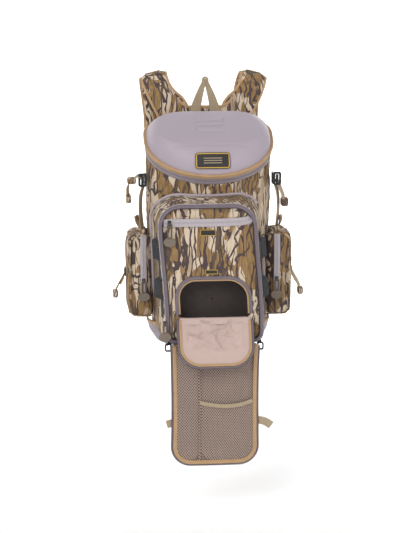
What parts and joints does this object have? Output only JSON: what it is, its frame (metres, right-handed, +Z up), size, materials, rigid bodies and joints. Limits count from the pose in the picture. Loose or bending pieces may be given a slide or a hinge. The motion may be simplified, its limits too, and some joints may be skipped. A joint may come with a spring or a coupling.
{
  "type": "hunting backpack",
  "caption": "Frame day pack with a moulded top lid, a fold-down front cover with mesh pockets, a flap-fronted binocular pocket, side pockets, padded straps and a hip belt.",
  "frame": {"origin": "inner apex of the haul loop, from which the pack hangs", "axes": "+X towards the right of someone facing the pack's front, +Y from the front towards the wearer's back, +Z up"},
  "size_m": [0.412, 0.3875, 0.8058],
  "materials": {
    "camo_fabric": "brushed woven, printed bark pattern",
    "base_fabric": "coated, hard wearing",
    "back_foam": "foam under spacer mesh",
    "binding_tape": "ribbed tape",
    "zipper_tape": "coated zipper tape",
    "webbing": "flat woven",
    "dark_webbing": "flat woven",
    "black_plastic": "moulded",
    "frame_plastic": "sheet",
    "stay_aluminium": "bar",
    "moulded_shell": "compression-moulded foam, satin",
    "lining": "brushed tricot",
    "mesh": "open knit",
    "label": "soft moulded",
    "slider_metal": "dark, satin",
    "pull_rubber": "soft moulded"
  },
  "bodies": {
    "pack": {"back_pads": "back_foam", "back_panel": "back_foam", "base_panel": "base_fabric", "belt_buckle": "black_plastic", "belt_webbing": "webbing", "bino_liner": "lining", "bino_zipper": "zipper_tape", "boot_bindings": "binding_tape", "boot_pocket_left": "base_fabric", "boot_pocket_right": "base_fabric", "corner_rings": "black_plastic", "cover_track": "zipper_tape", "frame_sheet": "frame_plastic", "frame_stays": "stay_aluminium", "front_gusset": "camo_fabric", "gusset_piping": "zipper_tape", "haul_handle": "webbing", "hip_wing_left": "camo_fabric", "hip_wing_right": "camo_fabric", "ladder_locks": "black_plastic", "lash_ladders": "dark_webbing", "lid_zipper_lower": "zipper_tape", "lower_straps": "webbing", "lumbar_pad": "back_foam", "main_bag": "camo_fabric", "organizer_face": "camo_fabric", "organizer_zipper": "zipper_tape", "pocket_labels": "label", "shoulder_strap_left": "camo_fabric", "shoulder_strap_right": "camo_fabric", "shoulder_yoke": "camo_fabric", "side_pocket_left": "camo_fabric", "side_pocket_right": "camo_fabric", "side_zippers": "zipper_tape", "sternum_buckle": "black_plastic", "sternum_webbing": "webbing", "strap_webbing": "webbing", "upper_tails": "webbing", "upper_webbing": "webbing"},
    "lid": {"lid_zipper_upper": "zipper_tape", "lid_binding": "binding_tape", "lid_shell": "moulded_shell", "lid_badge": "label"},
    "cover": {"cover_panel": "camo_fabric", "cover_tape": "zipper_tape", "cover_binding": "binding_tape", "cover_mesh": "mesh", "cover_hem": "binding_tape", "cover_tabs": "webbing"},
    "bino_flap": {"flap_panel": "lining", "flap_tape": "zipper_tape", "flap_binding": "binding_tape"},
    "organizer_slider": {"organizer_slider": "slider_metal"},
    "organizer_pull": {"organizer_pull": "pull_rubber"},
    "side_left_slider": {"side_left_slider": "slider_metal"},
    "side_left_pull": {"side_left_pull": "pull_rubber"},
    "side_right_slider": {"side_right_slider": "slider_metal"},
    "side_right_pull": {"side_right_pull": "pull_rubber"},
    "cover_slider": {"cover_slider": "slider_metal"},
    "cover_pull": {"cover_pull": "pull_rubber"}
  },
  "joints": [
    {"name": "lid_hinge", "type": "hinge", "parent": "pack", "child": "lid", "pos_m": [0, -0.01904, -0.08343], "axis": [-1, 0, 0], "range_deg": [0, 65]},
    {"name": "cover_hinge", "type": "hinge", "parent": "pack", "child": "cover", "pos_m": [0, -0.2365, -0.503], "axis": [-1, 0, 0], "range_deg": [0, 180]},
    {"name": "flap_hinge", "type": "hinge", "parent": "pack", "child": "bino_flap", "pos_m": [0, -0.2265, -0.453], "axis": [-1, 0, 0], "range_deg": [0, 155]},
    {"name": "organizer_zip", "type": "slide", "parent": "pack", "child": "organizer_slider", "axis": [1, 0, 0], "range_m": [0, 0.165]},
    {"name": "organizer_pull_swing", "type": "hinge", "parent": "organizer_slider", "child": "organizer_pull", "pos_m": [-0.084, -0.2309, -0.254], "axis": [0, 1, 0], "range_deg": [-35, 35]},
    {"name": "side_left_zip", "type": "slide", "parent": "pack", "child": "side_left_slider", "axis": [0, 0, 1], "range_m": [0, 0.085]},
    {"name": "side_left_pull_swing", "type": "hinge", "parent": "side_left_slider", "child": "side_left_pull", "pos_m": [-0.141, -0.1315, -0.394], "axis": [0, 1, 0], "range_deg": [-6, 35]},
    {"name": "side_right_zip", "type": "slide", "parent": "pack", "child": "side_right_slider", "axis": [0, 0, 1], "range_m": [0, 0.085]},
    {"name": "side_right_pull_swing", "type": "hinge", "parent": "side_right_slider", "child": "side_right_pull", "pos_m": [0.141, -0.1315, -0.394], "axis": [0, 1, 0], "range_deg": [-35, 6]},
    {"name": "cover_zip", "type": "slide", "parent": "pack", "child": "cover_slider", "axis": [0, 0, 1], "range_m": [0, 0.14]},
    {"name": "cover_pull_swing", "type": "hinge", "parent": "cover_slider", "child": "cover_pull", "pos_m": [-0.1055, -0.2309, -0.462], "axis": [0, 1, 0], "range_deg": [-30, 30]}
  ],
  "couplings": [
    {"joint": "flap_hinge", "follows": "cover_hinge", "ratio": 0.8611}
  ]
}
